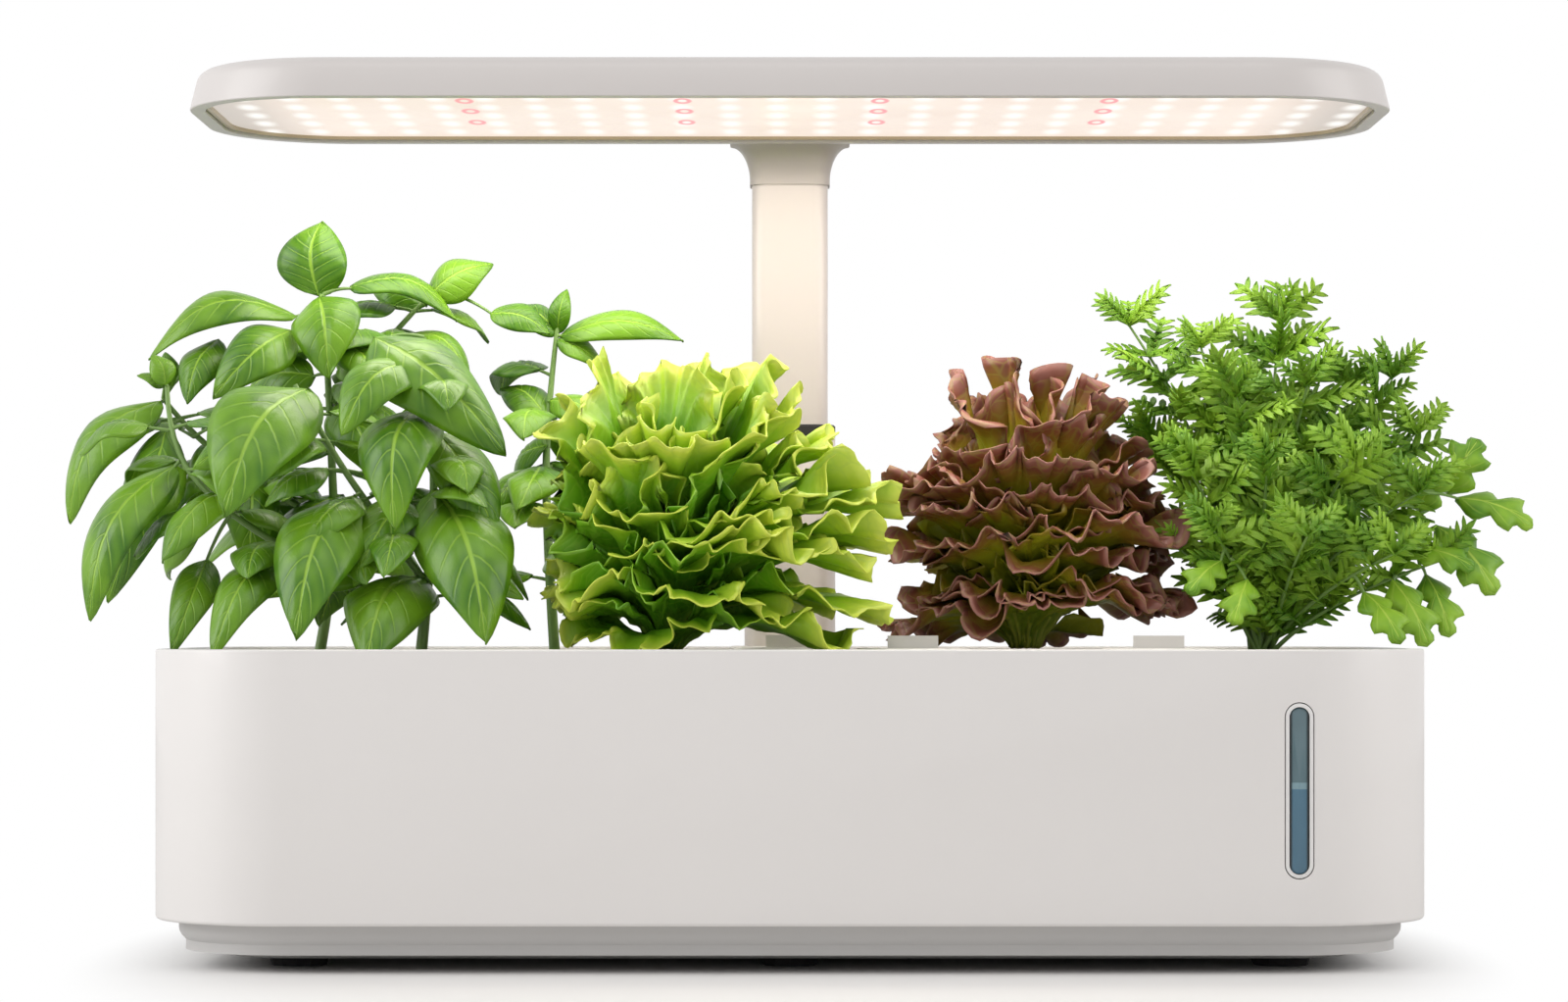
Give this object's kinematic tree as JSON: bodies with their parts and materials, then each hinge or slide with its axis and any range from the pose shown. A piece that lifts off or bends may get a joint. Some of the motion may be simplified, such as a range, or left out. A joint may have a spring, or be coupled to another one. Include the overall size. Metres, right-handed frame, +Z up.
{
  "type": "countertop hydroponic garden",
  "caption": "Countertop hydroponic garden: a long rounded water tank with a deck of basil, lettuces and a fine herb under a flat grow lamp on a telescopic mast.",
  "frame": {"origin": "on the surface it stands on, under the middle of the tank, at the bottom of the feet", "axes": "+X along the tank to the user's right, +Y from the front to the mast at the rear, +Z up"},
  "size_m": [0.4724, 0.2, 0.284],
  "materials": {
    "shell_white": "satin moulded, warm white",
    "tray_grey": "fine matt texture, mid grey",
    "deck_white": "satin moulded, off-white",
    "mast_silver": "pale silver lacquer, satin",
    "rubber_black": "matt black",
    "tank_grey": "opaque moulded, dark grey",
    "window_blue": "clear, polished, tinted blue by the water behind it",
    "board_green": "green board lacquer",
    "pump_black": "moulded, black",
    "steel": "plain stainless steel",
    "aluminium": "plain sheet",
    "board_white": "white board lacquer",
    "frame_cream": "cream, satin",
    "lens_warm": "opal diffuser, lit warm white",
    "button_grey": "satin light grey",
    "pod_white": "moulded, off-white",
    "sponge_brown": "porous growing sponge, dark brown",
    "basil_green": "glossy green leaf",
    "lettuce_green": "thin yellow-green leaf with deeper green inside",
    "lettuce_red": "thin red-brown leaf edge with green inner leaves",
    "herb_green": "fine feathery green leaf"
  },
  "bodies": {
    "base": {"base_tray": "tray_grey", "foot_1": "rubber_black", "foot_2": "rubber_black", "foot_3": "rubber_black", "foot_4": "rubber_black", "foot_5": "rubber_black", "foot_6": "rubber_black", "base_screw_1": "steel", "base_screw_2": "steel", "base_screw_3": "steel", "base_screw_4": "steel", "outer_housing": "shell_white", "water_tank": "tank_grey", "level_window": "window_blue", "window_bezel": "shell_white", "window_seal": "rubber_black", "service_cover": "deck_white", "mast_sleeve": "mast_silver", "mast_bush": "rubber_black", "control_board": "board_green", "dc_inlet": "rubber_black", "pump_housing": "pump_black", "pump_strainer": "pump_black", "impeller_shaft": "steel"},
    "lamp_head": {"mast_tube": "mast_silver", "lamp_housing": "shell_white", "heat_plate": "aluminium", "led_board": "board_white", "lens_frame": "frame_cream", "lamp_lens": "lens_warm"},
    "light_key": {"light_button": "button_grey"},
    "timer_key": {"timer_button": "button_grey"},
    "pump_key": {"pump_button": "button_grey"},
    "impeller": {"pump_impeller": "shell_white"},
    "fill_hatch": {"fill_lid": "deck_white"},
    "deck": {"grow_deck": "deck_white"},
    "pod_1": {"grow_basket_1": "pod_white", "grow_sponge_1": "sponge_brown", "basil_front": "basil_green"},
    "pod_2": {"grow_basket_2": "pod_white", "grow_sponge_2": "sponge_brown", "green_lettuce": "lettuce_green"},
    "pod_5": {"grow_basket_5": "pod_white", "grow_sponge_5": "sponge_brown", "basil_tall": "basil_green"},
    "pod_6": {"grow_basket_6": "pod_white", "grow_sponge_6": "sponge_brown", "basil_short": "basil_green"},
    "pod_8": {"grow_basket_8": "pod_white", "grow_sponge_8": "sponge_brown", "red_lettuce": "lettuce_red"},
    "pod_9": {"grow_basket_9": "pod_white", "grow_sponge_9": "sponge_brown", "fine_herb": "herb_green"},
    "cap_3": {"hole_cap_3": "deck_white"},
    "cap_4": {"hole_cap_4": "deck_white"},
    "cap_7": {"hole_cap_7": "deck_white"}
  },
  "joints": [
    {"name": "lamp_height", "type": "slide", "parent": "base", "child": "lamp_head", "axis": [0, 0, 1], "range_m": [-0.01, 0.11]},
    {"name": "light_press", "type": "slide", "parent": "base", "child": "light_key", "axis": [0, 0, -1], "range_m": [0, 0.001], "stiffness_N_per_m": 300, "springref_m": -0.0005},
    {"name": "timer_press", "type": "slide", "parent": "base", "child": "timer_key", "axis": [0, 0, -1], "range_m": [0, 0.001], "stiffness_N_per_m": 300, "springref_m": -0.0005},
    {"name": "pump_press", "type": "slide", "parent": "base", "child": "pump_key", "axis": [0, 0, -1], "range_m": [0, 0.001], "stiffness_N_per_m": 300, "springref_m": -0.0005},
    {"name": "impeller_spin", "type": "hinge", "parent": "base", "child": "impeller", "pos_m": [-0.135, 0.072, 0.0445], "axis": [0, 1, 0], "continuous": true},
    {"name": "lid_hinge", "type": "hinge", "parent": "base", "child": "fill_hatch", "pos_m": [0.125, 0.0837, 0.09585], "axis": [-1, 0, 0], "range_deg": [0, 95]},
    {"name": "deck_lift", "type": "slide", "parent": "base", "child": "deck", "axis": [0, 0, 1], "range_m": [0, 0.025]},
    {"name": "pod_1_lift", "type": "slide", "parent": "deck", "child": "pod_1", "axis": [0, 0, 1], "range_m": [0, 0.025]},
    {"name": "pod_2_lift", "type": "slide", "parent": "deck", "child": "pod_2", "axis": [0, 0, 1], "range_m": [0, 0.025]},
    {"name": "pod_5_lift", "type": "slide", "parent": "deck", "child": "pod_5", "axis": [0, 0, 1], "range_m": [0, 0.025]},
    {"name": "pod_6_lift", "type": "slide", "parent": "deck", "child": "pod_6", "axis": [0, 0, 1], "range_m": [0, 0.025]},
    {"name": "pod_8_lift", "type": "slide", "parent": "deck", "child": "pod_8", "axis": [0, 0, 1], "range_m": [0, 0.025]},
    {"name": "pod_9_lift", "type": "slide", "parent": "deck", "child": "pod_9", "axis": [0, 0, 1], "range_m": [0, 0.025]},
    {"name": "cap_3_lift", "type": "slide", "parent": "deck", "child": "cap_3", "axis": [0, 0, 1], "range_m": [0, 0.025]},
    {"name": "cap_4_lift", "type": "slide", "parent": "deck", "child": "cap_4", "axis": [0, 0, 1], "range_m": [0, 0.025]},
    {"name": "cap_7_lift", "type": "slide", "parent": "deck", "child": "cap_7", "axis": [0, 0, 1], "range_m": [0, 0.025]}
  ]
}
